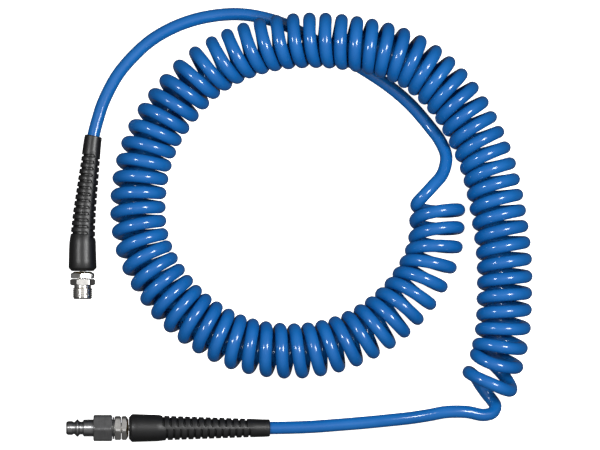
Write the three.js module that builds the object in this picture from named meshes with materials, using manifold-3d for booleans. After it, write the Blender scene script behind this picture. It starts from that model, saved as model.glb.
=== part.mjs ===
// Coiled compressed-air hose, laid down in an open ring.
//
// A hose wound into a long helix lies in a ring a little over one lap round. Its two
// straight tails end in the same swivel fitting under a rubber bend protector: one with a
// bare G1/4 male thread, the other with a quick-coupling plug screwed onto that thread.
//
// Units are millimetres, +Z is up and the floor is z = 0. The layout is drawn around the
// middle of the ring, then moved so that the origin is the bottom centre of the fittings.

import * as THREE from "three";
import { mergeVertices } from "three/addons/utils/BufferGeometryUtils.js";
import Module from "manifold-3d";

const wasm = await Module();
wasm.setup();

// ---------------------------------------------------------------- driving dimensions

const GAP = 0.3; // clearance between neighbouring pieces

const HOSE = { outer: 4.25, bore: 2.75 }; // radii of an 8.5 x 5.5 mm hose
const COIL_RADIUS = 18.75; // outside radius of the wound coil
const HOSE_LOW = HOSE.outer + 0.05; // height of the hose's centre line on the floor
const COIL_LOW = COIL_RADIUS; // height of the coil's axis on the floor
const COIL_HIGH = COIL_LOW + 2 * HOSE.outer + GAP; // where the coil lies over a tail

const AXIS_HEIGHT = 9.9; // fitting axes above the floor, on the protectors' wide rims

// G1/4, with an undercut at its root and a short run-out onto the full thread
const THREAD = { radius: 13.157 / 2, chamfer: 1, undercut: 5.7, undercutLength: 1.4, runOut: 0.7 };
const SEAT = { inner: 6.65, recess: 0.2 }; // raised sealing face round the thread's root
const BEARING = { spigot: 3.5, bore: 3.8 }; // radii of the joint that swivels
const AIR_BORE = { stem: 1.6, stud: 3, plug: 2.75 };
const GROOVE = { width: 1.3, stem: 2.4, ring: 2.7, stud: 4.5 }; // O-ring and snap ring grooves
const O_RING = { radius: 3.05, thickness: 1 };
const O_RINGS = [7.65, 9.75]; // where the two O-rings sit along the spigot
const SNAP_RING = { start: 11.85, thickness: 0.8, inner: 3, outer: 4.2, opening: 0.25 };
const WASHER = { inner: 3.8, outer: 5.8, thickness: 0.8, recess: 6.1, depth: 1.2 };
const BARBS = { start: -20, end: -8, pitch: 4.4, root: 1.9, crest: 2.25 };
const HEX_SMALL = 15; // across flats, both hexes of the swivel fitting
const HEX_PLUG = 17; // across flats, coupling plug

// Lengths along a fitting, measured outwards from the protector's wide face.
const STEM_HEX = { start: 0.3, end: 4.9, core: 6.5 };
const STUD_HEX = { start: 5.2, end: 9.6 };
const THREAD_END = 18.8;
const SPIGOT_END = 14.2;
const SEAL = { start: 9.9, end: 10.9, outer: 7.4, inner: 6 };
const PLUG_START = 11.2;
const PLUG_END = 42.1;
const PLUG_NOSE_LENGTH = 18.3;
const PLUG_PROFILE = [
  [5.7, 0], // body
  [5.7, 6.4],
  [4.35, 7.2], // groove for the coupling's balls
  [4.35, 9],
  [5.85, 10.3], // collar
  [5.85, 11.1],
  [4.1, 12.6], // neck
  [4.1, 13.4],
  [4.7, 14], // nose
];

const PROTECTOR = {
  mouth: 5.85, // outer radius where the hose comes out
  collar: 6.2, // outer radius where the ribs begin
  ribbed: 8.65, // outer radius where the ribs end
  rim: AXIS_HEIGHT, // outer radius at the wide end, which rests on the floor
  bore: 4.6,
  housing: 7.4, // radius of the bore around the clamp ferrule
  housingLength: 23.5,
  collarLength: 12.5,
  wideLength: 22,
  slots: 13,
  slotWidth: 1.4,
  slotFloor: 5.2,
  edge: 1.6,
};

const FERRULE = { outer: 7.1, inner: 4.6, start: -22.5, end: -1, edge: 0.6 };
const HOSE_INSET = 2.2; // the hose stops this far inside the protector's wide face

const ROUND = 18; // facets round a turned piece
const PROTECTOR_ROUND = 16;
const HOSE_SIDES = 8;
const COIL_SIDES = 16;
const TAIL_STEPS = { thread_end: 42, plug_end: 38 };
const COIL_STEPS = 44;
const CUTTER_LENGTH = 100; // longer than any piece that it cuts through
const JOIN_DEPTH = 0.2; // how far two solids reach into each other where they join

// ---------------------------------------------------------------- where things lie

// Centre line of the thread end's tail, from its protector's wide face to the coil.
const THREAD_END_ROUTE = [
  [-135.6, -39.6, AXIS_HEIGHT],
  [-135.6, -20, AXIS_HEIGHT],
  [-134.5, -2, 9.3],
  [-132.5, 16, 8.3],
  [-130.5, 33, 7.1],
  [-128.5, 50, 6],
  [-125.5, 62, 5.2],
  [-121.5, 74, 4.6],
  [-112, 92, HOSE_LOW],
  [-100, 106, HOSE_LOW],
  [-89, 115.5, HOSE_LOW],
  [-75, 123.5, HOSE_LOW],
  [-60, 129, HOSE_LOW],
  [-44, 132, HOSE_LOW],
  [-30, 132.5, HOSE_LOW],
  [-16, 130.5, HOSE_LOW],
  [0, 125.5, HOSE_LOW],
  [15, 117.5, HOSE_LOW],
  [33, 107, HOSE_LOW],
  [52, 96, HOSE_LOW],
  [70, 84, HOSE_LOW],
  [84, 72, 4.5],
  [97, 57, 6.2],
  [104, 47.5, 10.4],
  [108, 37, 16],
  [106, 27, 22],
  [102, 20, 26.8],
  [100, 16, 28.4],
  [100, 12.3, 28.4],
];

// Centre line of the plug end's tail, from the coil to its protector's wide face.
const PLUG_END_ROUTE = [
  [140, -119.3, 5.4],
  [140, -122, 5.4],
  [141, -130, 8.4],
  [139, -134.5, 11.8],
  [133, -136, 14.3],
  [122, -134, 17],
  [108, -134, 18],
  [97, -136, 15.5],
  [84, -138, 11.5],
  [70, -139.5, 7.8],
  [55, -141, 5.2],
  [37, -142.5, 4.5],
  [16, -144, 4.8],
  [-10, -144.7, 6],
  [-28, -144.7, 7.1],
  [-45, -144.7, 8.3],
  [-64, -144.7, 9.3],
  [-82, -144.7, AXIS_HEIGHT],
  [-104.6, -144.7, AXIS_HEIGHT],
];

// Axis of the wound coil, clockwise seen from above. It rises over the thread end's tail.
const COIL_AXIS = [
  [102, 12, COIL_LOW],
  [102, -1, COIL_LOW],
  [100, -24, COIL_LOW],
  [91, -45, COIL_LOW],
  [77, -63, COIL_LOW],
  [60, -77, COIL_LOW],
  [40, -87, COIL_LOW],
  [20, -92, COIL_LOW],
  [0, -93, COIL_LOW],
  [-23, -90, COIL_LOW],
  [-42, -83, COIL_LOW],
  [-67, -66, COIL_LOW],
  [-85, -44, COIL_LOW],
  [-95, -23, COIL_LOW],
  [-98.5, 0, COIL_LOW],
  [-96, 27, COIL_LOW],
  [-88, 51, COIL_LOW],
  [-76, 70, COIL_LOW + 1],
  [-57, 91, COIL_LOW + 4],
  [-38, 103, COIL_HIGH - 2],
  [-20, 110, COIL_HIGH],
  [0, 114, COIL_HIGH],
  [25, 115, COIL_HIGH],
  [45, 113, COIL_HIGH],
  [65, 109, COIL_HIGH],
  [85, 101, COIL_LOW + 6],
  [102, 88, COIL_LOW + 3],
  [116, 72, COIL_LOW + 1],
  [127, 53, COIL_LOW],
  [135, 34, COIL_LOW],
  [140, 15, COIL_LOW],
  [145, -14, COIL_LOW],
  [147, -35, COIL_LOW],
  [147, -56, COIL_LOW],
  [146, -78, COIL_LOW],
  [144, -90, COIL_LOW],
  [141, -102, COIL_LOW],
  [138, -113, COIL_LOW],
  [138, -119, COIL_LOW],
];

// The protector bent through the ring's side sits a little shorter than the straight one.
const THREAD_END_PROTECTOR_LENGTH = 91;
const PLUG_END_PROTECTOR_LENGTH = 94.5;

// ---------------------------------------------------------------- materials

const blueHose = () =>
  new THREE.MeshStandardMaterial({ color: 0x1f61a5, roughness: 0.28, metalness: 0 });
const blackRubber = () =>
  new THREE.MeshStandardMaterial({ color: 0x1a1a1b, roughness: 0.5, metalness: 0 });
const nickel = () =>
  new THREE.MeshStandardMaterial({ color: 0xb9b8b0, roughness: 0.22, metalness: 1 });
const darkSteel = () =>
  new THREE.MeshStandardMaterial({ color: 0x6a6a6a, roughness: 0.35, metalness: 1 });
const brass = () =>
  new THREE.MeshStandardMaterial({ color: 0xb08d4f, roughness: 0.35, metalness: 1 });
const whitePlastic = () =>
  new THREE.MeshStandardMaterial({ color: 0xe6e4dc, roughness: 0.5, metalness: 0 });

// ---------------------------------------------------------------- solid helpers

function toSolid(geometry) {
  const bare = geometry.clone();
  bare.deleteAttribute("normal");
  bare.deleteAttribute("uv");
  const merged = mergeVertices(bare, 1e-4);
  return new wasm.Manifold(
    new wasm.Mesh({
      numProp: 3,
      vertProperties: new Float32Array(merged.attributes.position.array),
      triVerts: new Uint32Array(merged.index.array),
    })
  );
}

function toGeometry(solid) {
  const mesh = solid.getMesh();
  const geometry = new THREE.BufferGeometry();
  geometry.setAttribute("position", new THREE.BufferAttribute(mesh.vertProperties, 3));
  geometry.setIndex(new THREE.BufferAttribute(mesh.triVerts, 1));
  geometry.computeVertexNormals();
  return geometry;
}

// A body turned about Y from [radius, y] corners of one closed outline, listed with the
// outer side running towards +Y.
function turned(corners, facets = ROUND) {
  const outline = [...corners, corners[0]].map(([radius, y]) => new THREE.Vector2(radius, y));
  return new THREE.LatheGeometry(outline, facets);
}

// A hexagonal prism on the Y axis. A cone of 30 degrees turns off the corners at each end,
// starting inside the flats by the amounts given.
function hexagon(acrossFlats, start, end, insideStart, insideEnd) {
  const flat = acrossFlats / 2;
  const corner = acrossFlats / Math.sqrt(3);
  const prism = new THREE.CylinderGeometry(corner, corner, end - start, 6);
  prism.translate(0, (start + end) / 2, 0);

  const wide = corner + 0.2;
  const coneLength = (radius) => (wide - radius) * Math.tan(Math.PI / 6);
  const trim = new THREE.LatheGeometry(
    [
      new THREE.Vector2(0, start),
      new THREE.Vector2(flat - insideStart, start),
      new THREE.Vector2(wide, start + coneLength(flat - insideStart)),
      new THREE.Vector2(wide, end - coneLength(flat - insideEnd)),
      new THREE.Vector2(flat - insideEnd, end),
      new THREE.Vector2(0, end),
    ],
    24
  );
  return toSolid(prism).intersect(toSolid(trim));
}

// The part of a longer curve between two distances along it.
class Stretch extends THREE.Curve {
  constructor(curve, from, to) {
    super();
    this.curve = curve;
    this.from = from;
    this.to = to;
    this.whole = curve.getLength();
  }

  getPoint(t, target = new THREE.Vector3()) {
    const distance = this.from + t * (this.to - this.from);
    return this.curve.getPointAt(THREE.MathUtils.clamp(distance / this.whole, 0, 1), target);
  }
}

function smoothCurve(points) {
  const vectors = points.map((point) => new THREE.Vector3(...point));
  const curve = new THREE.CatmullRomCurve3(vectors, false, "catmullrom", 0.5);
  curve.arcLengthDivisions = 800;
  return curve;
}

function ring(radius, sides, hole) {
  const outline = (r) =>
    Array.from({ length: sides }, (_, i) => {
      const angle = (2 * Math.PI * i) / sides;
      return new THREE.Vector2(r * Math.cos(angle), r * Math.sin(angle));
    });
  const shape = new THREE.Shape(outline(radius));
  if (hole) shape.holes.push(new THREE.Path(outline(hole)));
  return shape;
}

function tube(curve, steps, radius, sides, hole = 0) {
  return new THREE.ExtrudeGeometry(ring(radius, sides, hole), {
    steps,
    extrudePath: curve,
    bevelEnabled: false,
  });
}

// Bends a body drawn along Y, from y = 0, so that its axis follows a curve.
function bendAlong(geometry, curve) {
  const whole = curve.getLength();
  const position = geometry.attributes.position;
  const up = new THREE.Vector3(0, 0, 1);
  for (let i = 0; i < position.count; i++) {
    const along = THREE.MathUtils.clamp(position.getY(i) / whole, 0, 1);
    const centre = curve.getPointAt(along);
    const tangent = curve.getTangentAt(along);
    const side = new THREE.Vector3().crossVectors(tangent, up).normalize();
    const top = new THREE.Vector3().crossVectors(side, tangent);
    centre.addScaledVector(side, position.getX(i)).addScaledVector(top, position.getZ(i));
    position.setXYZ(i, centre.x, centre.y, centre.z);
  }
  return geometry;
}

// ---------------------------------------------------------------- hose

function hoseTail(route, from, to, steps) {
  const curve = smoothCurve(route);
  const stretch = new Stretch(curve, from, curve.getLength() - to);
  return tube(stretch, steps, HOSE.outer, HOSE_SIDES, HOSE.bore);
}

function hoseCoil() {
  return tube(smoothCurve(COIL_AXIS), COIL_STEPS, COIL_RADIUS, COIL_SIDES);
}

// ---------------------------------------------------------------- bend protector

// A rubber sleeve that widens from the hose to the fitting. Cross slots, broken by two
// webs, make its middle bend. y = 0 is the wide face.
function bendProtector(curve, length) {
  const p = PROTECTOR;
  const ribStart = p.wideLength;
  const ribEnd = length - p.collarLength;
  const pitch = (ribEnd - ribStart) / p.slots;
  const surface = (y) => p.ribbed + ((p.collar - p.ribbed) * (y - ribStart)) / (ribEnd - ribStart);

  const outline = [
    [p.housing, 0],
    [p.rim - p.edge, 0],
    [p.rim, p.edge],
    [p.ribbed, ribStart],
  ];
  for (let i = 0; i < p.slots; i++) {
    const low = ribStart + (i + 0.5) * pitch - p.slotWidth / 2;
    const high = low + p.slotWidth;
    outline.push([surface(low), low], [p.slotFloor, low], [p.slotFloor, high]);
    outline.push([surface(high), high]);
  }
  outline.push([p.collar, ribEnd + 1], [p.mouth, length]);
  const boreStart = p.housingLength + 2;
  const boreRows = 9; // enough for the bore to follow the bend
  for (let i = boreRows; i >= 0; i--) {
    outline.push([p.bore, boreStart + ((length - boreStart) * i) / boreRows]);
  }
  outline.push([p.housing, p.housingLength]);
  const geometry = turned(outline, PROTECTOR_ROUND);
  fillWebs(geometry, surface);
  return bendAlong(geometry, curve);
}

// Lifts the slots' floors to the surface at the two webs, on top and underneath.
function fillWebs(geometry, surface) {
  const position = geometry.attributes.position;
  const webHalfAngle = THREE.MathUtils.degToRad(20);
  for (let i = 0; i < position.count; i++) {
    const x = position.getX(i);
    const z = position.getZ(i);
    const radius = Math.hypot(x, z);
    const fromWeb = Math.atan2(Math.abs(x), Math.abs(z));
    if (Math.abs(radius - PROTECTOR.slotFloor) < 1e-3 && fromWeb < webHalfAngle) {
      const scale = (surface(position.getY(i)) - 0.05) / radius;
      position.setX(i, x * scale);
      position.setZ(i, z * scale);
    }
  }
}

// ---------------------------------------------------------------- swivel fitting

function clampFerrule() {
  const { outer, inner, start, end, edge } = FERRULE;
  return turned([
    [inner, start],
    [outer - edge, start],
    [outer, start + edge],
    [outer, end - edge],
    [outer - edge, end],
    [inner, end],
  ]);
}

// The hose stem: barbs inside the hose, a hex, and the spigot that the stud turns on.
function hoseStem() {
  const bore = AIR_BORE.stem;
  const core = turned([
    [bore, BARBS.start],
    ...barbCorners(),
    [BARBS.root, STEM_HEX.start],
    [STEM_HEX.core, STEM_HEX.start],
    [STEM_HEX.core, STEM_HEX.end],
    ...spigotCorners(),
    [bore, SPIGOT_END],
  ]);
  const hole = new THREE.CylinderGeometry(bore + GAP, bore + GAP, CUTTER_LENGTH, ROUND);
  const hex = hexagon(HEX_SMALL, STEM_HEX.start, STEM_HEX.end, 1.2, 0.3).subtract(toSolid(hole));
  return toGeometry(toSolid(core).add(hex));
}

function barbCorners() {
  const { start, end, pitch, root, crest } = BARBS;
  const corners = [];
  for (let y = start; y < end; y += pitch) {
    corners.push([root, y], [crest, y + 0.55 * pitch], [root, y + 0.6 * pitch]);
  }
  return corners;
}

// Two O-ring grooves and a shallower one for the snap ring.
function spigotCorners() {
  const { spigot } = BEARING;
  const corners = [[spigot, STEM_HEX.end]];
  const floors = [GROOVE.stem, GROOVE.stem, GROOVE.ring];
  const centres = [...O_RINGS, SNAP_RING.start + SNAP_RING.thickness / 2];
  centres.forEach((centre, i) => {
    const low = centre - GROOVE.width / 2;
    const high = centre + GROOVE.width / 2;
    corners.push([spigot, low], [floors[i], low], [floors[i], high], [spigot, high]);
  });
  corners.push([spigot, SPIGOT_END - 0.4], [spigot - 0.4, SPIGOT_END]);
  return corners;
}

// The swivel stud: a hex and the G1/4 thread, turning freely on the stem's spigot. The back
// of its hex is recessed for the slide washer, and its bore has a groove for the snap ring.
function swivelStud() {
  const { radius, chamfer, undercut, undercutLength, runOut } = THREAD;
  const rootStart = STUD_HEX.end - SEAT.recess;
  const rootEnd = STUD_HEX.end + undercutLength;
  const grooveStart = SNAP_RING.start + SNAP_RING.thickness / 2 - GROOVE.width / 2;
  const grooveEnd = grooveStart + GROOVE.width;
  const boreEnd = SPIGOT_END + 0.5;
  const core = turned([
    [WASHER.recess, STUD_HEX.start],
    [SEAT.inner + JOIN_DEPTH, STUD_HEX.start],
    [SEAT.inner + JOIN_DEPTH, rootStart],
    [undercut, rootStart],
    [undercut, rootEnd],
    [radius, rootEnd + runOut],
    [radius, THREAD_END - chamfer],
    [radius - chamfer, THREAD_END],
    [AIR_BORE.stud, THREAD_END],
    [AIR_BORE.stud, boreEnd],
    [BEARING.bore, boreEnd],
    [BEARING.bore, grooveEnd],
    [GROOVE.stud, grooveEnd],
    [GROOVE.stud, grooveStart],
    [BEARING.bore, grooveStart],
    [BEARING.bore, STUD_HEX.start + WASHER.depth],
    [WASHER.recess, STUD_HEX.start + WASHER.depth],
  ]);
  const hole = new THREE.CylinderGeometry(SEAT.inner, SEAT.inner, CUTTER_LENGTH, 4 * ROUND);
  const hex = hexagon(HEX_SMALL, STUD_HEX.start, STUD_HEX.end, 0.3, 0.3).subtract(toSolid(hole));
  return toGeometry(toSolid(core).add(hex));
}

function slideWasher() {
  const { inner, outer, thickness } = WASHER;
  const low = STUD_HEX.start + 0.1;
  const high = low + thickness;
  return turned([[inner, low], [outer, low], [outer, high], [inner, high]]);
}

function oRing(centre) {
  const geometry = new THREE.TorusGeometry(O_RING.radius, O_RING.thickness / 2, 6, ROUND);
  geometry.rotateX(Math.PI / 2);
  geometry.translate(0, centre, 0);
  return geometry;
}

// A wire ring with a gap, half in the spigot's groove and half in the stud's.
function snapRing() {
  const { start, thickness, inner, outer, opening } = SNAP_RING;
  const shape = new THREE.Shape();
  shape.absarc(0, 0, outer, opening, 2 * Math.PI - opening, false);
  shape.absarc(0, 0, inner, 2 * Math.PI - opening, opening, true);
  shape.closePath();
  const geometry = new THREE.ExtrudeGeometry(shape, {
    depth: thickness,
    steps: 1,
    curveSegments: 9,
    bevelEnabled: false,
  });
  geometry.rotateX(-Math.PI / 2);
  geometry.translate(0, start, 0);
  return geometry;
}

// ---------------------------------------------------------------- plug end

function sealingWasher() {
  const { start, end, outer, inner } = SEAL;
  return turned([[inner, start], [outer, start], [outer, end], [inner, end]]);
}

// Quick-coupling plug of the DN 7.2 profile with a female G1/4 thread in its hex. Its
// stepped profile is listed as distances beyond the hex.
function couplingPlug() {
  const bore = AIR_BORE.plug;
  const thread = THREAD.radius + GAP;
  const hexEnd = PLUG_END - PLUG_NOSE_LENGTH;
  const noseRadius = 4.7;
  const wall = 0.7; // from the thread to where the hex's own solid begins
  const core = turned([
    [thread, PLUG_START],
    [thread + wall, PLUG_START],
    [thread + wall, hexEnd],
    ...PLUG_PROFILE.map(([radius, beyond]) => [radius, hexEnd + beyond]),
    [noseRadius, PLUG_END - 1.2],
    [noseRadius - 1, PLUG_END],
    [bore, PLUG_END],
    [bore, THREAD_END + 2],
    [thread, THREAD_END + 1],
  ]);
  const holeRadius = thread + wall - JOIN_DEPTH;
  const hole = new THREE.CylinderGeometry(holeRadius, holeRadius, CUTTER_LENGTH, ROUND);
  const hex = hexagon(HEX_PLUG, PLUG_START, hexEnd, 0.4, 0.4).subtract(toSolid(hole));
  return toGeometry(toSolid(core).add(hex));
}

// ---------------------------------------------------------------- assembly

const layout = new THREE.Group();
const fittingPieces = [];

function addPiece(parent, name, geometry, material) {
  const mesh = new THREE.Mesh(geometry, material);
  mesh.name = name;
  parent.add(mesh);
  return mesh;
}

// One end of the hose, with its axis along the group's +Y.
function addFitting(end, place, turn) {
  const group = new THREE.Group();
  group.position.set(...place);
  group.rotation.set(...turn);
  layout.add(group);
  fittingPieces.push(
    addPiece(group, `clamp_ferrule_${end}`, clampFerrule(), brass()),
    addPiece(group, `hose_stem_${end}`, hoseStem(), nickel()),
    addPiece(group, `o_ring_inner_${end}`, oRing(O_RINGS[0]), blackRubber()),
    addPiece(group, `o_ring_outer_${end}`, oRing(O_RINGS[1]), blackRubber()),
    addPiece(group, `snap_ring_${end}`, snapRing(), darkSteel()),
    addPiece(group, `slide_washer_${end}`, slideWasher(), whitePlastic()),
    addPiece(group, `swivel_stud_${end}`, swivelStud(), nickel())
  );
  return group;
}

function addProtector(end, route, length) {
  const geometry = bendProtector(smoothCurve(route), length);
  fittingPieces.push(addPiece(layout, `bend_protector_${end}`, geometry, blackRubber()));
}

addPiece(
  layout,
  "hose_tail_thread_end",
  hoseTail(THREAD_END_ROUTE, HOSE_INSET, 0, TAIL_STEPS.thread_end),
  blueHose()
);
addPiece(layout, "hose_coil", hoseCoil(), blueHose());
addPiece(
  layout,
  "hose_tail_plug_end",
  hoseTail(PLUG_END_ROUTE, 0, HOSE_INSET, TAIL_STEPS.plug_end),
  blueHose()
);

addProtector("thread_end", THREAD_END_ROUTE, THREAD_END_PROTECTOR_LENGTH);
addFitting("thread_end", THREAD_END_ROUTE[0], [Math.PI, 0, 0]);

addProtector("plug_end", [...PLUG_END_ROUTE].reverse(), PLUG_END_PROTECTOR_LENGTH);
const plugEnd = addFitting("plug_end", PLUG_END_ROUTE.at(-1), [0, 0, Math.PI / 2]);
fittingPieces.push(
  addPiece(plugEnd, "sealing_washer", sealingWasher(), blackRubber()),
  addPiece(plugEnd, "coupling_plug", couplingPlug(), darkSteel())
);

// The origin is the bottom centre of the box around both fittings.
layout.updateMatrixWorld(true);
const box = new THREE.Box3();
for (const piece of fittingPieces) {
  box.expandByObject(piece, true);
}
const centre = box.getCenter(new THREE.Vector3());
layout.position.set(-centre.x, -centre.y, 0);

export default layout;
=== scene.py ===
"""Looks of the coiled compressed-air hose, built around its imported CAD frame.

Everything is in metres, +Z is up and the floor is z = 0. Routes are written in the
layout's own frame, around the middle of the coil's ring, and moved onto the CAD frame.
A fitting is drawn on its own Y axis: y = 0 is its bend protector's wide face and +Y
points away from the hose.
"""

import math

import bmesh
import bpy
import numpy as np
from mathutils import Matrix, Vector


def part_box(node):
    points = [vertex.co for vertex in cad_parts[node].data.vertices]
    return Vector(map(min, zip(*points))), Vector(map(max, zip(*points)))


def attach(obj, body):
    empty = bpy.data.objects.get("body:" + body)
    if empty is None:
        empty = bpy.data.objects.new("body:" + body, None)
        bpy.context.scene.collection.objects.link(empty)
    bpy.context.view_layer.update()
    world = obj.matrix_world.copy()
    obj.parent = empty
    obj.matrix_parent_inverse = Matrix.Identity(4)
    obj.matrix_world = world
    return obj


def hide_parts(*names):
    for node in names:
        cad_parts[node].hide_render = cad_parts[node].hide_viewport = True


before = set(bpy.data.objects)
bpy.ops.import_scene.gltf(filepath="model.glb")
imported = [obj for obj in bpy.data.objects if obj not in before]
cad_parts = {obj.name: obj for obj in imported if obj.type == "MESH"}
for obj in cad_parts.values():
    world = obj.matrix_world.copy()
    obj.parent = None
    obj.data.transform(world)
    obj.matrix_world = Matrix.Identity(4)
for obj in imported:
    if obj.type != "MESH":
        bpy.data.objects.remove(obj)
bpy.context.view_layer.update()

MM = 0.001  # the fittings are drawn in millimetres on their own axis

# ---------------------------------------------------------------- routes

HOSE_RADIUS = 0.00425
HOSE_BORE = 0.00275  # radius of the hose's inside
COIL_RADIUS = 0.01875  # outside radius of the wound coil
WINDING_RADIUS = COIL_RADIUS - HOSE_RADIUS
HOSE_LOW = 0.0043  # height of the hose's middle where it lies on the floor
COIL_LOW = COIL_RADIUS  # height of the coil's axis where the coil lies on the floor
COIL_HIGH = 0.02755  # height of the coil's axis over the thread end's tail
AXIS_HEIGHT = 0.0099  # height of the axis of both fittings

# Centre line of the thread end's tail, from its protector's wide face to the first turn.
THREAD_END_ROUTE = [
    (-0.1356, -0.0396, AXIS_HEIGHT),
    (-0.1356, -0.02, AXIS_HEIGHT),
    (-0.1345, -0.002, 0.0093),
    (-0.1325, 0.016, 0.0083),
    (-0.1305, 0.033, 0.0071),
    (-0.1285, 0.05, 0.006),
    (-0.1255, 0.062, 0.0052),
    (-0.1215, 0.074, 0.0046),
    (-0.112, 0.092, HOSE_LOW),
    (-0.1, 0.106, HOSE_LOW),
    (-0.089, 0.1155, HOSE_LOW),
    (-0.075, 0.1235, HOSE_LOW),
    (-0.06, 0.129, HOSE_LOW),
    (-0.044, 0.132, HOSE_LOW),
    (-0.03, 0.1325, HOSE_LOW),
    (-0.016, 0.1305, HOSE_LOW),
    (0.0, 0.1255, HOSE_LOW),
    (0.015, 0.1175, HOSE_LOW),
    (0.033, 0.107, HOSE_LOW),
    (0.052, 0.096, HOSE_LOW),
    (0.07, 0.084, HOSE_LOW),
    (0.084, 0.072, 0.0045),
    (0.097, 0.057, 0.0062),
    (0.104, 0.0475, 0.0104),
    (0.108, 0.037, 0.016),
    (0.1055, 0.0255, 0.0225),
    (0.099, 0.0175, 0.028),
    (0.093, 0.011, 0.0302),
    (0.0885, 0.006, 0.0265),
]

# Centre line of the plug end's tail, from the last turn to its protector's wide face.
PLUG_END_ROUTE = [
    (0.1275, -0.1105, 0.0112),
    (0.131, -0.116, 0.006),
    (0.135, -0.1215, 0.0043),
    (0.139, -0.1265, 0.0055),
    (0.141, -0.13, 0.0084),
    (0.139, -0.1345, 0.0118),
    (0.133, -0.136, 0.0143),
    (0.122, -0.134, 0.017),
    (0.108, -0.134, 0.018),
    (0.097, -0.136, 0.0155),
    (0.084, -0.138, 0.0115),
    (0.07, -0.1395, 0.0078),
    (0.055, -0.141, 0.0052),
    (0.037, -0.1425, 0.0045),
    (0.016, -0.144, 0.0048),
    (-0.01, -0.1447, 0.006),
    (-0.028, -0.1447, 0.0071),
    (-0.045, -0.1447, 0.0083),
    (-0.064, -0.1447, 0.0093),
    (-0.082, -0.1447, AXIS_HEIGHT),
    (-0.1046, -0.1447, AXIS_HEIGHT),
]

# Axis of the wound coil, clockwise seen from above. It rises over the thread end's tail.
COIL_AXIS = [
    (0.102, 0.012, COIL_LOW),
    (0.102, -0.001, COIL_LOW),
    (0.1, -0.024, COIL_LOW),
    (0.091, -0.045, COIL_LOW),
    (0.077, -0.063, COIL_LOW),
    (0.06, -0.077, COIL_LOW),
    (0.04, -0.087, COIL_LOW),
    (0.02, -0.092, COIL_LOW),
    (0.0, -0.093, COIL_LOW),
    (-0.023, -0.09, COIL_LOW),
    (-0.042, -0.083, COIL_LOW),
    (-0.067, -0.066, COIL_LOW),
    (-0.085, -0.044, COIL_LOW),
    (-0.095, -0.023, COIL_LOW),
    (-0.0985, 0.0, COIL_LOW),
    (-0.096, 0.027, COIL_LOW),
    (-0.088, 0.051, COIL_LOW),
    (-0.076, 0.07, COIL_LOW + 0.001),
    (-0.057, 0.091, COIL_LOW + 0.004),
    (-0.038, 0.103, COIL_HIGH - 0.002),
    (-0.02, 0.11, COIL_HIGH),
    (0.0, 0.114, COIL_HIGH),
    (0.025, 0.115, COIL_HIGH),
    (0.045, 0.113, COIL_HIGH),
    (0.065, 0.109, COIL_HIGH),
    (0.085, 0.101, COIL_LOW + 0.006),
    (0.102, 0.088, COIL_LOW + 0.003),
    (0.116, 0.072, COIL_LOW + 0.001),
    (0.127, 0.053, COIL_LOW),
    (0.135, 0.034, COIL_LOW),
    (0.14, 0.015, COIL_LOW),
    (0.145, -0.014, COIL_LOW),
    (0.147, -0.035, COIL_LOW),
    (0.147, -0.056, COIL_LOW),
    (0.146, -0.078, COIL_LOW),
    (0.144, -0.09, COIL_LOW),
    (0.141, -0.102, COIL_LOW),
    (0.138, -0.113, COIL_LOW),
    (0.138, -0.119, COIL_LOW),
]
AXIS_LEAD = 0.013  # length of the axis before the distances of the turns are counted
AXIS_TAIL = 0.004  # length of the axis after the last turn's crest

FIRST_CREST = -0.0015  # where turn 0 has its crest, as a distance along the axis
FIRST_TURN = -0.67  # the hose joins the winding part of a turn before that crest
LAST_CREST_TURN = 74
LAST_TURN = 74.3  # the hose leaves the winding a little after the last crest
POINTS_PER_TURN = 24

# Roughly how far apart the turns lie, at distances along the axis. They are opened out at
# both ends and where the coil climbs over the tail. The loop scales them to fit the axis.
SPACING = [
    (0.0, 0.0115),
    (0.1, 0.011),
    (0.2, 0.0105),
    (0.35, 0.0105),
    (0.39, 0.0112),
    (0.44, 0.01),
    (0.65, 0.01),
    (0.74, 0.011),
    (0.79, 0.013),
]

# How far a turn's outer side lies ahead of its middle.
SKEW = [
    (0.0, -0.001),
    (0.03, -0.0015),
    (0.06, 0.0005),
    (0.74, 0.0005),
    (0.779, 0.0015),
    (0.79, 0.008),
]

# How far a turn's crest lies ahead of its middle: the turns lean over a little.
LEAN = [
    (0.0, -0.003),
    (0.06, -0.0025),
    (0.09, -0.001),
    (0.17, 0.0),
    (0.27, 0.0015),
    (0.39, 0.0005),
    (0.42, -0.002),
    (0.49, -0.002),
    (0.54, 0.0),
    (0.64, -0.002),
    (0.775, 0.0),
    (0.79, 0.0035),
]

stud_low, stud_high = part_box("swivel_stud_thread_end")
plug_low, plug_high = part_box("coupling_plug")
SHIFT = Vector(
    (
        (stud_low.x + stud_high.x) / 2 - THREAD_END_ROUTE[0][0],
        (plug_low.y + plug_high.y) / 2 - PLUG_END_ROUTE[-1][1],
        0.0,
    )
)


def in_frame(points):
    """Layout points moved onto the CAD frame."""
    return [Vector(p) + SHIFT for p in points]


# ---------------------------------------------------------------- camera

VIEW_WIDTH = 0.402
VIEW_CENTRE = (0.01005, -0.00871)
CAMERA_HEIGHT = 2.0


def make_camera():
    data = bpy.data.cameras.new("camera")
    data.type = "ORTHO"
    data.ortho_scale = VIEW_WIDTH
    data.clip_end = 10.0
    camera = bpy.data.objects.new("camera", data)
    bpy.context.scene.collection.objects.link(camera)
    camera.location = Vector((*VIEW_CENTRE, CAMERA_HEIGHT)) + SHIFT
    bpy.context.scene.camera = camera


# ---------------------------------------------------------------- curves

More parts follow.
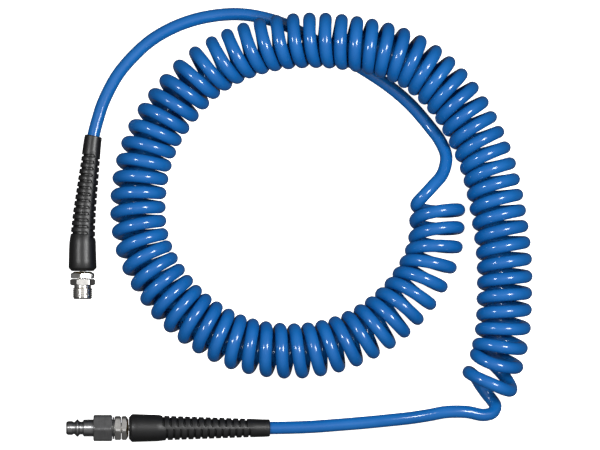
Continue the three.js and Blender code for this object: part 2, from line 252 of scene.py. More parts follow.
SEGMENT_STEP = 0.0022  # longest step between two rings of the hose
AXIS_STEP = 0.001  # longest step along an axis that a shape is bent round
AXIS_SAMPLES = 4000  # places along the coil's axis where the turns are counted
COIL_REACH = 0.002  # how far to each side the direction of the coil's axis is taken
SLEEVE_REACH = 0.001  # how far to each side the direction of a protector's axis is taken
END_GAP = 0.0001  # points nearer than this to a trimmed end are left out
TINY = 1e-9


def knot_gap(a, b):
    """The gap between two knots of a centripetal curve."""
    return max((b - a).length, TINY) ** 0.5


def spline_point(p0, p1, p2, p3, share):
    """A point between p1 and p2 on the centripetal Catmull-Rom curve."""
    t0 = 0.0
    t1 = t0 + knot_gap(p0, p1)
    t2 = t1 + knot_gap(p1, p2)
    t3 = t2 + knot_gap(p2, p3)
    t = t1 + share * (t2 - t1)
    a1 = p0 * ((t1 - t) / (t1 - t0)) + p1 * ((t - t0) / (t1 - t0))
    a2 = p1 * ((t2 - t) / (t2 - t1)) + p2 * ((t - t1) / (t2 - t1))
    a3 = p2 * ((t3 - t) / (t3 - t2)) + p3 * ((t - t2) / (t3 - t2))
    b1 = a1 * ((t2 - t) / (t2 - t0)) + a2 * ((t - t0) / (t2 - t0))
    b2 = a2 * ((t3 - t) / (t3 - t1)) + a3 * ((t - t1) / (t3 - t1))
    return b1 * ((t2 - t) / (t2 - t1)) + b2 * ((t - t1) / (t2 - t1))


def smooth(points, longest_step):
    """The points joined by a smooth curve, no two results further apart than the step."""
    ends = [points[0] * 2 - points[1], *points, points[-1] * 2 - points[-2]]
    curve = []
    for p0, p1, p2, p3 in zip(ends, ends[1:], ends[2:], ends[3:]):
        count = max(1, math.ceil((p2 - p1).length / longest_step))
        curve += [spline_point(p0, p1, p2, p3, i / count) for i in range(count)]
    return curve + [points[-1]]


def distances(points):
    """The points as an array, and how far along the line each of them is."""
    array = np.array([tuple(p) for p in points])
    steps = np.linalg.norm(np.diff(array, axis=0), axis=1)
    return array, np.concatenate([[0.0], np.cumsum(steps)])


def point_at(array, along, distance):
    """The place on the line at a distance along it."""
    return Vector([float(np.interp(distance, along, array[:, i])) for i in range(3)])


def turn_places(along):
    """Distances along the axis, and the turn that has its crest at each."""
    grid = np.linspace(along[0], along[-1], AXIS_SAMPLES)
    spacing_at, spacing = np.array(SPACING).T
    rate = 1.0 / np.interp(grid, spacing_at, spacing)
    turns = np.concatenate([[0.0], np.cumsum((rate[1:] + rate[:-1]) / 2 * np.diff(grid))])
    turns -= np.interp(FIRST_CREST, grid, turns)
    last_crest = along[-1] - AXIS_TAIL
    return grid, turns * LAST_CREST_TURN / np.interp(last_crest, grid, turns)


def coil_points():
    """The centre line of the turns, from the first turn to just past the last crest."""
    array, along = distances(smooth(in_frame(COIL_AXIS), AXIS_STEP))
    along = along - AXIS_LEAD
    grid, turns = turn_places(along)
    skew_at, skew = np.array(SKEW).T
    lean_at, lean = np.array(LEAN).T

    points = []
    first = round(FIRST_TURN * POINTS_PER_TURN)
    last = round(LAST_TURN * POINTS_PER_TURN)
    for i in range(first, last + 1):
        turn = i / POINTS_PER_TURN
        angle = 2 * math.pi * turn + math.pi / 2
        distance = float(np.interp(turn, turns, grid))
        centre = point_at(array, along, distance)
        ahead = point_at(array, along, distance + COIL_REACH)
        behind = point_at(array, along, distance - COIL_REACH)
        forward = Vector((ahead.x - behind.x, ahead.y - behind.y, 0)).normalized()
        outward = Vector((-forward.y, forward.x, 0))
        lead = float(np.interp(distance, skew_at, skew)) * math.cos(angle)
        lead += float(np.interp(distance, lean_at, lean)) * (math.sin(angle) - 1)
        points.append(
            centre
            + forward * lead
            + outward * (WINDING_RADIUS * math.cos(angle))
            + Vector((0, 0, WINDING_RADIUS * math.sin(angle)))
        )
    return points


# ---------------------------------------------------------------- mesh helpers

# Edges that turn by more than these angles, in degrees, are drawn sharp.
HOSE_SMOOTH_ANGLE = 35.0
METAL_SMOOTH_ANGLE = 24.0
SLEEVE_SMOOTH_ANGLE = 32.0


def new_piece(name, vertices, faces, material, smooth_angle):
    """A closed mesh with its faces pointing out, smooth except across sharp edges."""
    mesh = bpy.data.meshes.new(name)
    mesh.from_pydata(vertices, [], faces)
    shell = bmesh.new()
    shell.from_mesh(mesh)
    bmesh.ops.recalc_face_normals(shell, faces=shell.faces)
    shell.to_mesh(mesh)
    shell.free()
    mesh.shade_smooth()
    mesh.set_sharp_from_angle(angle=math.radians(smooth_angle))
    mesh.materials.append(material)
    piece = bpy.data.objects.new(name, mesh)
    bpy.context.scene.collection.objects.link(piece)
    return piece


def ring_faces(ring_count, size, closed):
    """Four-sided faces between neighbouring rings, and from the last to the first."""
    faces = []
    for i in range(ring_count if closed else ring_count - 1):
        a = i * size
        b = ((i + 1) % ring_count) * size
        for j in range(size):
            k = (j + 1) % size
            faces.append((a + j, a + k, b + k, b + j))
    return faces


def carried_frames(points):
    """Two directions across the line at each point, carried along it without twist."""
    tangents = [
        (points[min(i + 1, len(points) - 1)] - points[max(i - 1, 0)]).normalized()
        for i in range(len(points))
    ]
    side = tangents[0].orthogonal().normalized()
    frames = []
    for tangent in tangents:
        side = (side - tangent * side.dot(tangent)).normalized()
        frames.append((side, tangent.cross(side)))
    return frames


# ---------------------------------------------------------------- hose

HOSE_SIDES = 24
BORE_DEPTH = 0.026  # how far the hose is hollow at each end
END_INSET = 0.0022  # how far each end lies behind its protector's wide face
END_EDGE = 0.0003  # how far the edge of each end is turned in


def hose_path():
    """The centre line from one protector's wide face to the other's."""
    first_tail = in_frame(THREAD_END_ROUTE)
    second_tail = in_frame(PLUG_END_ROUTE)
    return smooth(first_tail + coil_points() + second_tail, SEGMENT_STEP)


def trimmed(points, from_start, from_end):
    """The line without the given lengths at its two ends."""
    array, along = distances(points)
    first, last = from_start, along[-1] - from_end
    kept = [p for p, d in zip(points, along) if first + END_GAP < d < last - END_GAP]
    return [point_at(array, along, first), *kept, point_at(array, along, last)]


def hose_ring(centre, across, radius):
    """Points round the hose at one place on its line."""
    side, top = across
    ring = []
    for j in range(HOSE_SIDES):
        angle = 2 * math.pi * j / HOSE_SIDES
        ring.append(centre + side * (radius * math.cos(angle)) + top * (radius * math.sin(angle)))
    return ring


def hose_mesh(line):
    """Vertices and faces of the hose, solid but for a bore at each end."""
    _, along = distances(line)
    last = len(line) - 1
    far_bore = [i for i in range(len(line)) if along[-1] - along[i] <= BORE_DEPTH]
    near_bore = [i for i in range(len(line)) if along[i] <= BORE_DEPTH]

    # The outside from end to end and back down the far bore, then the near bore.
    outside = [(i, HOSE_RADIUS) for i in range(len(line))]
    outside[0] = (0, HOSE_RADIUS - END_EDGE)
    outside[last] = (last, HOSE_RADIUS - END_EDGE)
    outside += [(i, HOSE_BORE) for i in reversed(far_bore)]
    inside = [(i, HOSE_BORE) for i in near_bore]

    frames = carried_frames(line)
    vertices = []
    for i, radius in outside + inside:
        vertices += hose_ring(line[i], frames[i], radius)

    first_inside = len(outside) * HOSE_SIDES
    faces = ring_faces(len(outside), HOSE_SIDES, closed=False)
    for face in ring_faces(len(inside), HOSE_SIDES, closed=False):
        faces.append(tuple(first_inside + v for v in face))
    for j in range(HOSE_SIDES):
        k = (j + 1) % HOSE_SIDES
        faces.append((j, k, first_inside + k, first_inside + j))
    for floor_ring in (len(outside) - 1, len(outside) + len(inside) - 1):
        faces.append(tuple(floor_ring * HOSE_SIDES + j for j in range(HOSE_SIDES)))
    return [tuple(v) for v in vertices], faces


def make_hose(material):
    line = trimmed(hose_path(), END_INSET, END_INSET)
    hose = new_piece("air_hose", *hose_mesh(line), material, HOSE_SMOOTH_ANGLE)
    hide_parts("hose_tail_thread_end", "hose_coil", "hose_tail_plug_end")
    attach(hose, "hose")
    return hose, line


# ---------------------------------------------------------------- fittings

# Sizes in millimetres. Places lie along a fitting's own Y axis, as on the CAD frame.
COLUMNS = 72  # points round a metal piece
HEX_SMALL = 15.0
HEX_PLUG = 17.0
HEX_CORNER_ROUNDING = 0.18
CHAMFER_SLOPE = math.tan(math.radians(30))
# Rows at a hexagon's end: how far each shrinks, and how far it lies behind the cone.
HEX_END_ROWS = [(0.08, 0.0), (0.0, 0.08), (0.0, 0.3)]
EASE = 0.12  # how far back an edge is eased
EASE_SHARE = 0.3  # largest share of a side that is eased at one corner

STEM_BORE = 1.6
STEM_HEX = (0.3, 4.9)  # where the hexagon starts and ends
STEM_HEX_INSIDE = (2.0, 0.3)  # how far inside the flats each end's chamfer begins
# A barb rises from its foot to its crest and drops back, at shares of the barbs' pitch.
BARBS = {
    "start": -20.0,
    "end": -8.0,
    "pitch": 4.4,
    "root": 1.9,
    "crest": 2.25,
    "foot": 0.05,
    "crest_share": 0.55,
    "drop_share": 0.6,
}
SPIGOT = 3.5
SPIGOT_END = 14.2
SPIGOT_EDGE = 0.4
GROOVE_WIDTH = 1.3
GROOVES = [(7.65, 2.4), (9.75, 2.4), (12.25, 2.7)]  # centre and floor radius on the spigot

STUD_HEX = (5.2, 9.6)
STUD_HEX_INSIDE = (0.3, 0.3)
STUD_RECESS = 6.1
STUD_RECESS_END = STUD_HEX[0] + 1.2
SEAT_INNER = 6.65
SEAT_DEPTH = 0.2
UNDERCUT = 5.7
THREAD_START = 11.0
THREAD_END = 18.8
THREAD_RADIUS = 13.157 / 2
THREAD_PITCH = 1.337
THREAD_DEPTH = 0.856
THREAD_ROOT = 0.06  # half the width of the root, in half pitches
THREAD_FLANK = 0.3  # width of a flank, in half pitches
THREAD_RUN_OUT = 1.2  # slope at which the thread rises from the undercut
THREAD_CHAMFER = 1.0
THREAD_ROW = THREAD_PITCH / 11
STUD_BORE = 3.8
STUD_BORE_END = SPIGOT_END + 0.5
STUD_AIR_BORE = 3.0
STUD_GROOVE = 4.5

PLUG_START = 11.2
PLUG_END = 42.1
PLUG_HEX_END = 23.8
PLUG_HEX_INSIDE = (0.4, 0.4)
PLUG_BORE = 2.75
PLUG_SOCKET = THREAD_RADIUS + 0.3
PLUG_SOCKET_END = THREAD_END + 1
PLUG_BORE_START = THREAD_END + 2
# Outline of the plug: radius, and distance past the hexagon.
PLUG_PROFILE = [
    (5.7, 0.0),
    (5.7, 6.4),
    (4.35, 7.2),
    (4.35, 9.0),
    (5.85, 10.3),
    (5.85, 11.1),
    (4.1, 12.6),
    (4.1, 13.4),
    (4.7, 14.0),
    (4.7, 17.1),
    (3.7, 18.3),
]
# Corners of the washer: radius and place.
SEAL_CORNERS = [(6.0, 9.9), (7.4, 9.9), (7.4, 10.9), (6.0, 10.9)]

# How far a hexagon's corner is turned from the top, in degrees.
STEM_CORNER = {"thread_end": 9, "plug_end": -12}
STUD_CORNER = {"thread_end": 27, "plug_end": -12}
PLUG_CORNER = -5


def circle(radius, y):
    """A row of a body: its radius and place on the axis, the same all the way round."""
    return lambda angle: (radius, y)


def eased(corners):
    """Rows through the corners of an outline, with every corner slightly rounded."""
    rows = []
    for i, (radius, y) in enumerate(corners):
        corner = Vector((radius, y))
        sides = []
        for j in (i - 1, (i + 1) % len(corners)):
            towards = Vector(corners[j]) - corner
            share = min(EASE / towards.length, EASE_SHARE)
            sides.append(corner + towards * share)
        middle = (corner * 2 + sides[0] + sides[1]) / 4
        rows += [circle(*sides[0]), circle(*middle), circle(*sides[1])]
    return rows


def hex_radius(across_flats, angle):
    """The radius of a hexagon with slightly rounded corners in one direction."""
    from_flat = math.radians(math.degrees(angle) % 60 - 30)
    corner = across_flats / math.sqrt(3) - HEX_CORNER_ROUNDING
    return min(across_flats / 2 / math.cos(from_flat), corner)


def chamfered_row(across_flats, cone, face, direction, shrink, step):
    """A row of a hexagon near one end, where a cone of 30 degrees turns off its corners."""

    def row(angle):
        radius = hex_radius(across_flats, angle) - shrink
        return radius, face + direction * ((radius - cone) * CHAMFER_SLOPE + step)

    return row


def hex_rows(across_flats, start, end, inside_start, inside_end):
    """Rows of a hexagon whose chamfers begin a little inside its flats."""
    rows = []
    for face, direction, inside in ((start, 1, inside_start), (end, -1, inside_end)):
        cone = across_flats / 2 - inside
        near = [circle(cone, face)]
        for shrink, step in HEX_END_ROWS:
            near.append(chamfered_row(across_flats, cone, face, direction, shrink, step))
        rows += near if direction == 1 else near[::-1]
    return rows


def thread_row(y):
    """A row across the right-hand thread, which runs out at the root and at the end."""

    def row(angle):
        phase = (y / THREAD_PITCH - angle / (2 * math.pi)) % 1.0
        flank = min(max((abs(2 * phase - 1) - THREAD_ROOT) / THREAD_FLANK, 0.0), 1.0)
        radius = THREAD_RADIUS - THREAD_DEPTH * (1 - flank)
        radius = min(radius, UNDERCUT + (y - THREAD_START) * THREAD_RUN_OUT)
        return min(radius, THREAD_RADIUS - THREAD_CHAMFER + (THREAD_END - y)), y

    return row


def row_body(name, rows, place, material):
    """A closed body whose rows run once round its outline."""
    vertices = []
    for row in rows:
        for i in range(COLUMNS):
            angle = 2 * math.pi * i / COLUMNS
            radius, y = row(angle)
            point = Vector((radius * math.sin(angle), y, radius * math.cos(angle)))
            vertices.append(tuple(place @ (point * MM)))
    faces = ring_faces(len(rows), COLUMNS, closed=True)
    return new_piece(name, vertices, faces, material, METAL_SMOOTH_ANGLE)


def stem_rows():
    """Rows of a stem: barbs inside the hose, hexagon, and a spigot with its grooves."""
    corners = [(STEM_BORE, BARBS["start"])]
    y = BARBS["start"]
    while y < BARBS["end"]:
        corners.append((BARBS["root"], y + BARBS["foot"]))
        corners.append((BARBS["crest"], y + BARBS["crest_share"] * BARBS["pitch"]))
        corners.append((BARBS["root"], y + BARBS["drop_share"] * BARBS["pitch"]))
        y += BARBS["pitch"]
    spigot = [(SPIGOT, STEM_HEX[1])]
    for centre, floor in GROOVES:
        low = centre - GROOVE_WIDTH / 2
        high = centre + GROOVE_WIDTH / 2
        spigot += [(SPIGOT, low), (floor, low), (floor, high), (SPIGOT, high)]
    spigot += [(SPIGOT, SPIGOT_END - SPIGOT_EDGE), (SPIGOT - SPIGOT_EDGE, SPIGOT_END)]
    spigot.append((STEM_BORE, SPIGOT_END))
    hexagon = hex_rows(HEX_SMALL, *STEM_HEX, *STEM_HEX_INSIDE)
    barbs = [circle(*c) for c in corners + [(BARBS["root"], STEM_HEX[0])]]
    return barbs + hexagon + [circle(*c) for c in spigot]


def stud_rows():
    """Rows of a stud: hexagon, seat, thread, and the stepped bore round the stem's spigot."""
    snap_ring_centre = GROOVES[2][0]
    groove_low = snap_ring_centre - GROOVE_WIDTH / 2
    groove_high = snap_ring_centre + GROOVE_WIDTH / 2
    seat = STUD_HEX[1] - SEAT_DEPTH
    rows = [circle(STUD_RECESS, STUD_HEX[0])]
    rows += hex_rows(HEX_SMALL, *STUD_HEX, *STUD_HEX_INSIDE)
    rows += [circle(SEAT_INNER, STUD_HEX[1]), circle(SEAT_INNER, seat), circle(UNDERCUT, seat)]
    count = round((THREAD_END - THREAD_START) / THREAD_ROW)
    step = (THREAD_END - THREAD_START) / count
    rows += [thread_row(THREAD_START + i * step) for i in range(count + 1)]
    inside = [
        (STUD_AIR_BORE, THREAD_END),
        (STUD_AIR_BORE, STUD_BORE_END),
        (STUD_BORE, STUD_BORE_END),
        (STUD_BORE, groove_high),
        (STUD_GROOVE, groove_high),
        (STUD_GROOVE, groove_low),
        (STUD_BORE, groove_low),
        (STUD_BORE, STUD_RECESS_END),
        (STUD_RECESS, STUD_RECESS_END),
    ]
    return rows + [circle(*c) for c in inside]


def plug_rows():
    """Rows of the plug: hexagon, turned nose, and a bore that widens into the socket."""
    rows = [circle(PLUG_SOCKET, PLUG_START)]
    rows += hex_rows(HEX_PLUG, PLUG_START, PLUG_HEX_END, *PLUG_HEX_INSIDE)
    profile = [(radius, PLUG_HEX_END + beyond) for radius, beyond in PLUG_PROFILE]
    rows += eased([*profile, (PLUG_BORE, PLUG_END)])[1:]
    inside = [(PLUG_BORE, PLUG_BORE_START), (PLUG_SOCKET, PLUG_SOCKET_END)]
    return rows + [circle(*c) for c in inside]


def fitting_place(end, corner):
    """Where a fitting's own axes lie, with its hexagon's corner turned this far from the top."""
    if end == "thread_end":
        origin = in_frame(THREAD_END_ROUTE)[0]
        turn = Matrix.Rotation(math.pi, 4, "X")
    else:
        origin = in_frame(PLUG_END_ROUTE)[-1]
        turn = Matrix.Rotation(math.pi / 2, 4, "Z")
    about_axis = Matrix.Rotation(math.radians(corner), 4, "Y")
    return Matrix.Translation(origin) @ turn @ about_axis


def finish_piece(piece, node, body):
    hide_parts(node)
    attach(piece, body)


def make_fittings(nickel, dark_steel, seal_rubber):
    for end in ("thread_end", "plug_end"):
        stem = row_body(f"stem_{end}", stem_rows(), fitting_place(end, STEM_CORNER[end]), nickel)
        finish_piece(stem, f"hose_stem_{end}", "hose")
        stud = row_body(f"stud_{end}", stud_rows(), fitting_place(end, STUD_CORNER[end]), nickel)
        finish_piece(stud, f"swivel_stud_{end}", f"{end}_swivel")
    seal = row_body("seal", eased(SEAL_CORNERS), fitting_place("plug_end", 0), seal_rubber)
    finish_piece(seal, "sealing_washer", "plug_end_swivel")
    plug = row_body("plug", plug_rows(), fitting_place("plug_end", PLUG_CORNER), dark_steel)
    finish_piece(plug, "coupling_plug", "plug_end_swivel")


# ---------------------------------------------------------------- bend protectors

SLEEVE_COLUMNS = 64
SLEEVE_LENGTH = {"thread_end": 91.0, "plug_end": 94.5}
SLEEVE_WEB_TURN = {"thread_end": 31.0, "plug_end": 180.0}  # web's lean from the top, degrees
# Radii and lengths of a protector, in millimetres.
SLEEVE = {
    "mouth": 5.85,
    "mouth_edge": 0.4,
    "collar": 6.2,
    "ribbed": 8.35,
    "shoulder": 8.9,
    "shoulder_length": 2.0,
    "rim": 9.45,
    "edge": 2.2,
    "bore": 4.35,
    "housing": 7.4,
    "housing_length": 23.5,
    "housing_cone": 2,
    "collar_length": 12.5,
    "wide_length": 22.0,
}
RIM_ROUNDING = [(0.25, -0.3), (0.0, 0.2)]  # how far below the rim, and past its chamfer
WIDE_ROWS = (7.0, 13.0, 18.3, 19.4, 20.5)  # rows between the rim and the slots
PAST_SLOTS = 3  # how far past the slotted part the next row lies
BEFORE_MOUTH = (4, 0.5)  # how far before the mouth the last rows lie
BORE_ROWS = 12
SLOTS = 13
SLOT_WIDTH = 1.15
SLOT_DEPTH = 1.15
FIRST_SLOT = 0.75  # how far into the slotted part the left half's first slot lies, in pitches
WEB_HALF_ANGLE = math.radians(9)
SLOT_END_ANGLE = 0.12  # over this angle a slot narrows to its rounded end
SLOT_END_SHARE = 0.4  # share of its width that a slot keeps at its very end
# Across one side of a slot: distance past its edge, and share of its depth.
SLOT_SECTION = [(-0.35, 0.0), (-0.2, 0.06), (-0.08, 0.2), (0.0, 0.45), (0.12, 1.0)]


def from_web(angle):
    """The angle between a direction and the nearer of the two webs."""
    return abs((angle + math.pi / 2) % math.pi - math.pi / 2)


def right_share(angle):
    """1 in the right half of the sleeve, 0 in the left one, changing across the webs."""
    return min(max(0.5 + math.sin(angle) / (2 * math.sin(WEB_HALF_ANGLE)), 0.0), 1.0)


def slot_row(surface, centre, pitch, side, beyond, share):
    """A row along a slot. The slots of the left half lie half a pitch further along."""

    def row(angle):
        span = from_web(angle) - WEB_HALF_ANGLE
        narrowed = 1 - min(max(span / SLOT_END_ANGLE, 0.0), 1.0)
        half_width = SLOT_WIDTH / 2 * max(math.sqrt(1 - narrowed**2), SLOT_END_SHARE)
        y = centre + side * (half_width - beyond) - right_share(angle) * pitch / 2
        depth = SLOT_DEPTH if span > 0 else 0.0
        return surface(y) - share * depth, y

    return row


def sleeve_rows(length):
    """Rows of a straight protector: outside from the wide face on, and back down the bore."""
    p = SLEEVE
    rib_start = p["wide_length"]
    rib_end = length - p["collar_length"]
    pitch = (rib_end - rib_start) / SLOTS

    def surface(y):
        shoulder = rib_start - p["shoulder_length"]
        places = [p["edge"], shoulder, rib_start, rib_end, length]
        radii = [p["rim"], p["shoulder"], p["ribbed"], p["collar"], p["mouth"]]
        return float(np.interp(y, places, radii))

    rows = [circle(p["housing"], 0.0), circle(p["rim"] - p["edge"], 0.0)]
    rows += [circle(p["rim"] - below, p["edge"] + past) for below, past in RIM_ROUNDING]
    rows += [circle(surface(y), y) for y in WIDE_ROWS]
    for i in range(SLOTS):
        centre = rib_start + (i + FIRST_SLOT) * pitch
        for beyond, share in SLOT_SECTION:
            rows.append(slot_row(surface, centre, pitch, -1, beyond, share))
        for beyond, share in reversed(SLOT_SECTION):
            rows.append(slot_row(surface, centre, pitch, 1, beyond, share))
    narrow_rows = [rib_end + PAST_SLOTS, *(length - before for before in BEFORE_MOUTH)]
    rows += [circle(surface(y), y) for y in narrow_rows]
    rows.append(circle(p["mouth"] - p["mouth_edge"], length))
    bore_start = p["housing_length"] + p["housing_cone"]
    for i in range(BORE_ROWS):
        rows.append(circle(p["bore"], length - (length - bore_start) * i / (BORE_ROWS - 1)))
    rows.append(circle(p["housing"], p["housing_length"]))
    return rows


def make_sleeve(end, route, material):
    """A bend protector drawn straight and bent so that its axis follows the hose."""
    array, along = distances(smooth(in_frame(route), AXIS_STEP))
    length = SLEEVE_LENGTH[end]
    turn = math.radians(SLEEVE_WEB_TURN[end])
    rows = sleeve_rows(length)
    vertices = []
    for row in rows:
        for i in range(SLEEVE_COLUMNS):
            angle = 2 * math.pi * i / SLEEVE_COLUMNS
            radius, y = row(angle)
            centre = point_at(array, along, y * MM)
            ahead = point_at(array, along, y * MM + SLEEVE_REACH)
            behind = point_at(array, along, max(y * MM - SLEEVE_REACH, 0.0))
            tangent = (ahead - behind).normalized()
            side = tangent.cross(Vector((0, 0, 1))).normalized()
            top = side.cross(tangent)
            across = side * math.sin(angle + turn) + top * math.cos(angle + turn)
            vertices.append(tuple(centre + across * (radius * MM)))
    faces = ring_faces(len(rows), SLEEVE_COLUMNS, closed=True)
    sleeve = new_piece(f"sleeve_{end}", vertices, faces, material, SLEEVE_SMOOTH_ANGLE)
    finish_piece(sleeve, f"bend_protector_{end}", "hose")


# ---------------------------------------------------------------- materials


def new_material(name):
    material = bpy.data.materials.new(name)
    material.use_nodes = True
    nodes = material.node_tree.nodes
    return material, nodes, material.node_tree.links, nodes["Principled BSDF"]


def noise_node(nodes, links, scale, detail=3.0, stretch=None):
    """Noise in the object's own space, in metres, stretched by a scale for each axis."""
    node = nodes.new("ShaderNodeTexNoise")
    node.inputs["Scale"].default_value = scale
    node.inputs["Detail"].default_value = detail
    vector = nodes.new("ShaderNodeTexCoord").outputs["Object"]
    if stretch:
        mapping = nodes.new("ShaderNodeMapping")
        mapping.inputs["Scale"].default_value = stretch
        links.new(vector, mapping.inputs["Vector"])
        vector = mapping.outputs["Vector"]
    links.new(vector, node.inputs["Vector"])
    return node.outputs["Fac"]


def ranged(nodes, links, value, low, high, from_low=0.3, from_high=0.7):
    """A value brought from one range into another and kept inside it."""
    node = nodes.new("ShaderNodeMapRange")
    node.inputs["From Min"].default_value = from_low
    node.inputs["From Max"].default_value = from_high
    node.inputs["To Min"].default_value = low
    node.inputs["To Max"].default_value = high
    links.new(value, node.inputs["Value"])
    return node.outputs["Result"]


def mixed_colours(nodes, links, factor, first, second):
    """Two colours, or a colour over the output of another mix, mixed by a factor."""
    node = nodes.new("ShaderNodeMix")
    node.data_type = "RGBA"
    links.new(factor, node.inputs["Factor"])
    if isinstance(first, tuple):
        node.inputs["A"].default_value = (*first, 1.0)
    else:
        links.new(first, node.inputs["A"])
    node.inputs["B"].default_value = (*second, 1.0)
    return node.outputs["Result"]


def bumped(nodes, links, shader, height, distance):
    """A bump on a shader, at most as high as the distance."""
    node = nodes.new("ShaderNodeBump")
    node.inputs["Distance"].default_value = distance
    links.new(height, node.inputs["Height"])
    links.new(node.outputs["Normal"], shader.inputs["Normal"])


def worn_edges(nodes, links, colour, worn):
    """A paler colour where the surface turns over an edge."""
    pointiness = nodes.new("ShaderNodeNewGeometry").outputs["Pointiness"]
    edge = ranged(nodes, links, pointiness, low=0.0, high=1.0, from_low=0.53, from_high=0.62)
    return mixed_colours(nodes, links, edge, colour, worn)


def hose_material():
    material, nodes, links, shader = new_material("glossy_blue_polyurethane")
    clouds = noise_node(nodes, links, scale=45.0, detail=2.0)
    cloud = ranged(nodes, links, clouds, low=0.0, high=1.0)
    colour = mixed_colours(nodes, links, cloud, (0.004, 0.092, 0.318), (0.006, 0.110, 0.360))
    links.new(colour, shader.inputs["Base Color"])
    grain = noise_node(nodes, links, scale=900.0, detail=2.0)
    links.new(ranged(nodes, links, grain, low=0.13, high=0.2), shader.inputs["Roughness"])
    ripple = noise_node(nodes, links, scale=240.0, detail=1.0)
    bumped(nodes, links, shader, ripple, distance=0.00002)
    shader.inputs["IOR"].default_value = 1.5
    return material


def rubber_material(name, colour, roughness):
    """Black rubber, paler along its edges, with painted shade making it darker down in its slots.
    """
    material, nodes, links, shader = new_material(name)
    cloud = ranged(nodes, links, noise_node(nodes, links, scale=160.0), low=0.0, high=1.0)
    dark = tuple(c * 0.7 for c in colour)
    tint = mixed_colours(nodes, links, cloud, dark, colour)
    worn = worn_edges(nodes, links, tint, tuple(c * 3.0 for c in colour))
    # Painted shade: where the surface is hollow, such as down in the slots, the colour is mixed
    # to near-black.
    pointiness = nodes.new("ShaderNodeNewGeometry").outputs["Pointiness"]
    painted_hollow_shade = ranged(nodes, links, pointiness, low=1.0, high=0.0, from_low=0.44, from_high=0.495)
    shaded = mixed_colours(nodes, links, painted_hollow_shade, worn, (0.0005, 0.0005, 0.0005))
    links.new(shaded, shader.inputs["Base Color"])
    grain = noise_node(nodes, links, scale=2600.0)
    rough = ranged(nodes, links, grain, low=roughness * 0.85, high=roughness * 1.2)
    links.new(rough, shader.inputs["Roughness"])
    bumped(nodes, links, shader, grain, distance=0.00005)
    return material


def metal_material(name, colour, roughness, stretch=None):
    """Turned or drawn metal: fine lines round the axis where a stretch is given."""
    material, nodes, links, shader = new_material(name)
    cloud = ranged(nodes, links, noise_node(nodes, links, scale=300.0), low=0.0, high=1.0)
    dark = tuple(c * 0.8 for c in colour)
    tint = mixed_colours(nodes, links, cloud, dark, colour)
    worn = tuple(min(c * 1.3, 0.95) for c in colour)
    links.new(worn_edges(nodes, links, tint, worn), shader.inputs["Base Color"])
    lines = noise_node(nodes, links, scale=60.0, stretch=stretch)
    rough = ranged(nodes, links, lines, low=roughness * 0.75, high=roughness * 1.35)
    links.new(rough, shader.inputs["Roughness"])
    bumped(nodes, links, shader, lines, distance=0.000005)
    if stretch:
        tangent = nodes.new("ShaderNodeTangent")
        tangent.direction_type = "RADIAL"
        tangent.axis = "X"
        links.new(tangent.outputs["Tangent"], shader.inputs["Tangent"])
        shader.inputs["Anisotropic"].default_value = 0.9
        shader.inputs["Anisotropic Rotation"].default_value = 0.25
    shader.inputs["Metallic"].default_value = 1.0
    return material


def plastic_material(name, colour, roughness):
    material, nodes, links, shader = new_material(name)
    cloud = ranged(nodes, links, noise_node(nodes, links, scale=260.0), low=0.0, high=1.0)
    dark = tuple(c * 0.85 for c in colour)
    links.new(mixed_colours(nodes, links, cloud, dark, colour), shader.inputs["Base Color"])
    grain = noise_node(nodes, links, scale=1800.0)
    rough = ranged(nodes, links, grain, low=roughness * 0.8, high=roughness * 1.2)
    links.new(rough, shader.inputs["Roughness"])
    bumped(nodes, links, shader, grain, distance=0.00003)
    return material


def dress_hidden_nodes(seal_rubber):
    """Materials for the CAD pieces inside the fittings, which keep their shapes."""
    brass = metal_material("crimped_brass", (0.50, 0.34, 0.11), roughness=0.32)
    spring = metal_material("spring_wire", (0.42, 0.42, 0.43), roughness=0.3)
    white = plastic_material("slide_plastic", (0.78, 0.76, 0.70), roughness=0.45)
    by_kind = {
        "clamp_ferrule": brass,
        "o_ring": seal_rubber,
        "snap_ring": spring,
        "slide_washer": white,
    }
    for name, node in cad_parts.items():
        for kind, material in by_kind.items():
            if name.startswith(kind):
                node.data.materials.clear()
                node.data.materials.append(material)


# ---------------------------------------------------------------- floor and lights


def make_floor():
    half = 3.0
    mesh = bpy.data.meshes.new("floor")
    corners = [(-half, -half, 0), (half, -half, 0), (half, half, 0), (-half, half, 0)]
    mesh.from_pydata(corners, [], [(0, 1, 2, 3)])
    floor = bpy.data.objects.new("floor", mesh)
    bpy.context.scene.collection.objects.link(floor)
    material, _, _, shader = new_material("pale_floor")
    shader.inputs["Base Color"].default_value = (0.9, 0.9, 0.9, 1.0)
    shader.inputs["Roughness"].default_value = 0.9
    shader.inputs["Specular IOR Level"].default_value = 0.0
    shader.inputs["Emission Color"].default_value = (1.0, 1.0, 1.0, 1.0)
    shader.inputs["Emission Strength"].default_value = 1.0
    mesh.materials.append(material)
    floor.visible_glossy = False
    floor.visible_diffuse = False


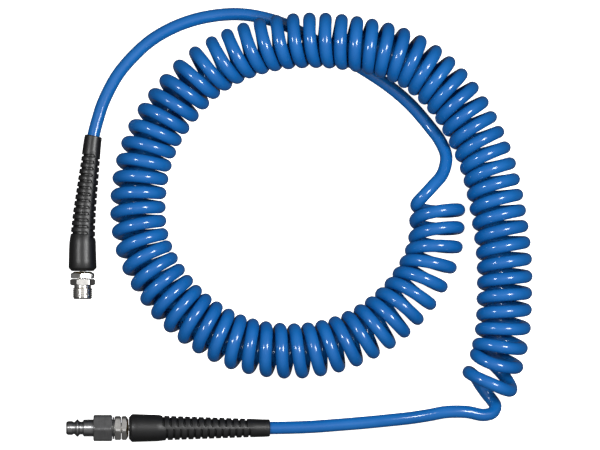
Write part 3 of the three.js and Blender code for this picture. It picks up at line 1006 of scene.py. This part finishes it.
def add_soft_light(name, lean_x, lean_y, distance, diameter, power):
    """A round light over the ring's middle, leaning from the vertical by two angles."""
    data = bpy.data.lights.new(name, "AREA")
    data.shape = "DISK"
    data.size = diameter
    data.energy = power
    light = bpy.data.objects.new(name, data)
    bpy.context.scene.collection.objects.link(light)
    direction = Vector(
        (math.tan(math.radians(lean_x)), math.tan(math.radians(lean_y)), 1.0)
    ).normalized()
    light.location = SHIFT + direction * distance
    light.rotation_mode = "QUATERNION"
    light.rotation_quaternion = direction.to_track_quat("Z", "Y")


def make_world():
    """A pale sky, darker towards the horizon so that edges read dark, brightest overhead."""
    world = bpy.data.worlds.new("studio")
    world.use_nodes = True
    nodes = world.node_tree.nodes
    links = world.node_tree.links
    split = nodes.new("ShaderNodeSeparateXYZ")
    links.new(nodes.new("ShaderNodeTexCoord").outputs["Generated"], split.inputs["Vector"])
    height = split.outputs["Z"]
    sky = ranged(nodes, links, height, low=0.07, high=0.5, from_low=0.0, from_high=0.9)
    overhead = ranged(nodes, links, height, low=0.0, high=0.5, from_low=0.9, from_high=1.0)
    total = nodes.new("ShaderNodeMath")
    total.operation = "ADD"
    links.new(sky, total.inputs[0])
    links.new(overhead, total.inputs[1])
    links.new(total.outputs["Value"], nodes["Background"].inputs["Strength"])
    nodes["Background"].inputs["Color"].default_value = (1.0, 1.0, 1.0, 1.0)
    bpy.context.scene.world = world


def make_lights():
    make_world()
    add_soft_light(
        "soft_light_right", lean_x=28.0, lean_y=8.0, distance=1.8, diameter=0.6, power=29.0
    )
    add_soft_light(
        "soft_light_left", lean_x=-37.0, lean_y=6.0, distance=1.8, diameter=0.32, power=14.0
    )
    bpy.context.scene.view_settings.view_transform = "Standard"


# ---------------------------------------------------------------- building

make_camera()
hose, hose_line = make_hose(hose_material())

ACROSS_PLUG = (40.0, 1.0, 1.0)  # turned lines round the plug, which lies along X
sleeve_rubber = rubber_material("black_moulded_rubber", (0.006, 0.006, 0.0065), roughness=0.38)
seal_rubber = rubber_material("seal_rubber", (0.010, 0.010, 0.010), roughness=0.5)
make_fittings(
    metal_material("bright_nickel", (0.80, 0.78, 0.75), roughness=0.2),
    metal_material("dark_turned_steel", (0.34, 0.34, 0.345), roughness=0.34, stretch=ACROSS_PLUG),
    seal_rubber,
)
make_sleeve("thread_end", THREAD_END_ROUTE, sleeve_rubber)
make_sleeve("plug_end", PLUG_END_ROUTE[::-1], sleeve_rubber)
dress_hidden_nodes(seal_rubber)
make_floor()
make_lights()
